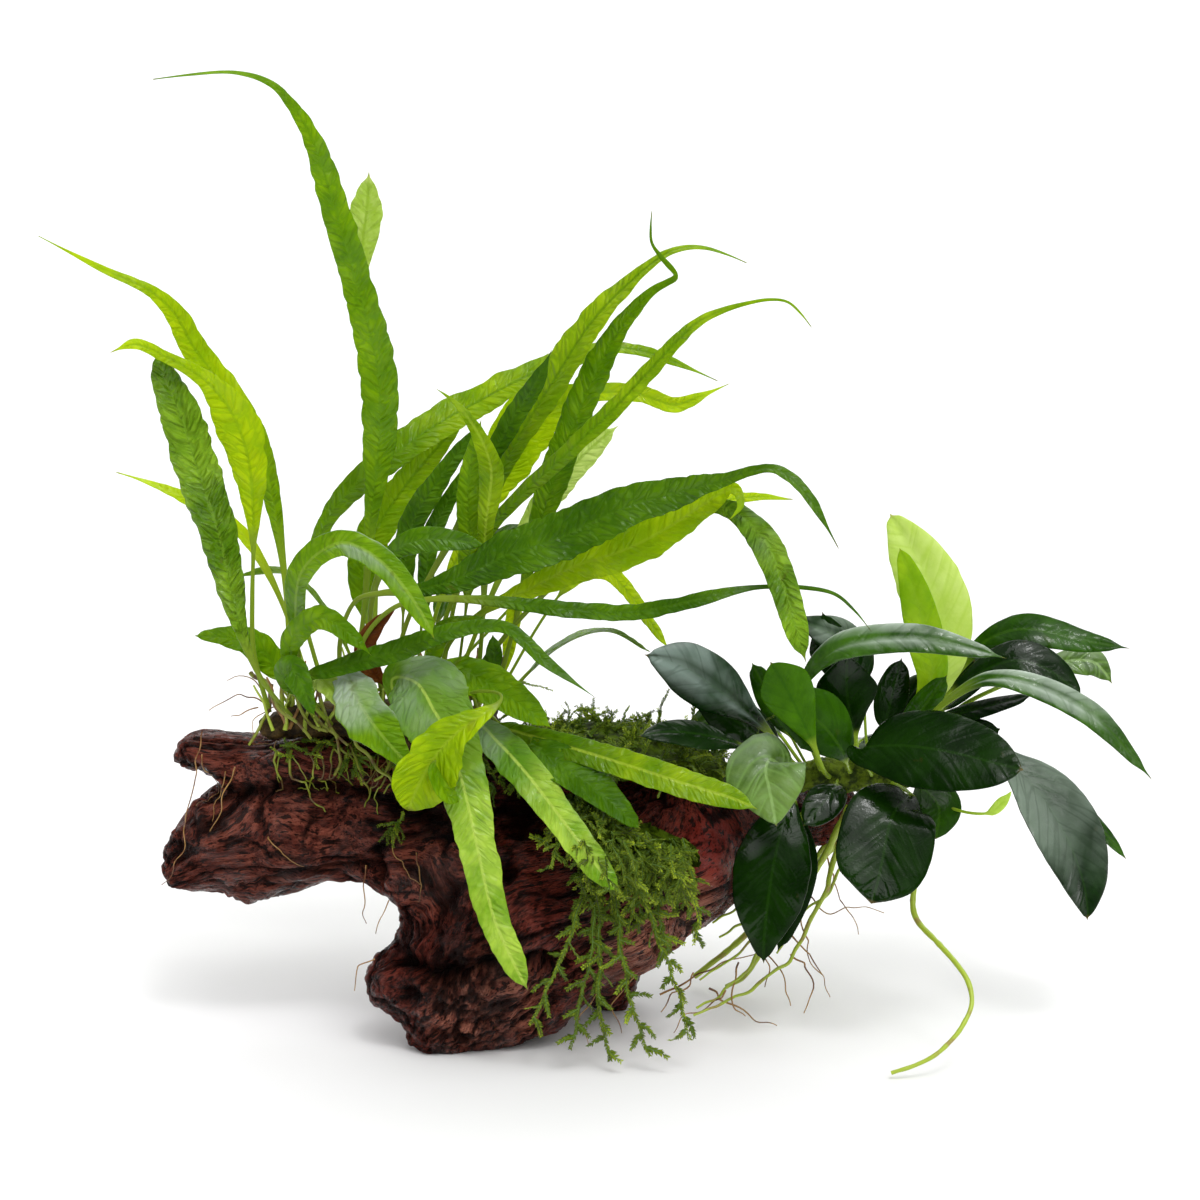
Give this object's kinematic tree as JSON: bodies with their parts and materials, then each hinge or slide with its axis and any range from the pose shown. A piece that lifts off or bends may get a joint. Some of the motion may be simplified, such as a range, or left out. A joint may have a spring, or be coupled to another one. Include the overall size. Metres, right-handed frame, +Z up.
{
  "type": "java fern and anubias on driftwood",
  "caption": "Aquarium epiphyte planting: strap-leaved fern, small broad-leaved anubias and moss growing on a forked piece of driftwood that stands on its feet.",
  "frame": {"origin": "on the surface the wood stands on, under the middle of the whole plant's box", "axes": "+X along the wood to the viewer's right, +Y to the back, +Z up"},
  "size_m": [0.331, 0.115, 0.2937],
  "materials": {
    "wood": "wet dark red-brown weathered driftwood",
    "fern": "thin leathery green frond, half gloss, slightly translucent",
    "anubias": "thick dark green leaf, waxy gloss",
    "moss": "soft feathery moss",
    "rhizome": "green-brown creeping stem with dry scales",
    "root": "yellow-green root turning brown"
  },
  "bodies": {
    "root": {"wood_trunk": "wood", "wood_left_limb": "wood", "wood_right_arm": "wood", "wood_front_foot": "wood", "wood_rear_foot": "wood", "moss_mat": "moss", "moss_apron": "moss", "moss_beard": "moss", "fern_rhizome": "rhizome", "anubias_rhizome": "rhizome", "root_long": "root", "root_back": "root", "root_side": "root", "frond_arching": "fern", "frond_back_tall": "fern", "frond_curly": "fern", "frond_dark_left": "fern", "frond_dark_upright": "fern", "frond_far_left": "fern", "frond_front_bright": "fern", "frond_front_long": "fern", "frond_front_right": "fern", "frond_great_dark": "fern", "frond_hanging": "fern", "frond_high_right": "fern", "frond_level_front": "fern", "frond_lime_back": "fern", "frond_lime_left": "fern", "frond_lime_right": "fern", "frond_lime_twisted": "fern", "frond_long_low": "fern", "frond_mid_dark": "fern", "frond_mid_right": "fern", "frond_over_right": "fern", "frond_pale_front": "fern", "frond_pale_rear": "fern", "frond_small_curl": "fern", "frond_small_lime": "fern", "frond_tall": "fern", "frond_thin_arch": "fern", "frond_under_dark": "fern", "leaf_arching": "anubias", "leaf_arrowhead": "anubias", "leaf_back_right": "anubias", "leaf_big_front": "anubias", "leaf_centre": "anubias", "leaf_dark_right": "anubias", "leaf_hanging_big": "anubias", "leaf_heart": "anubias", "leaf_level_left": "anubias", "leaf_narrow_right": "anubias", "leaf_right_hanging": "anubias", "leaf_round_bright": "anubias", "leaf_top_back": "anubias", "leaf_under_round": "anubias", "leaf_upper_left": "anubias", "leaf_upper_right": "anubias", "leaf_young": "anubias"}
  },
  "joints": []
}
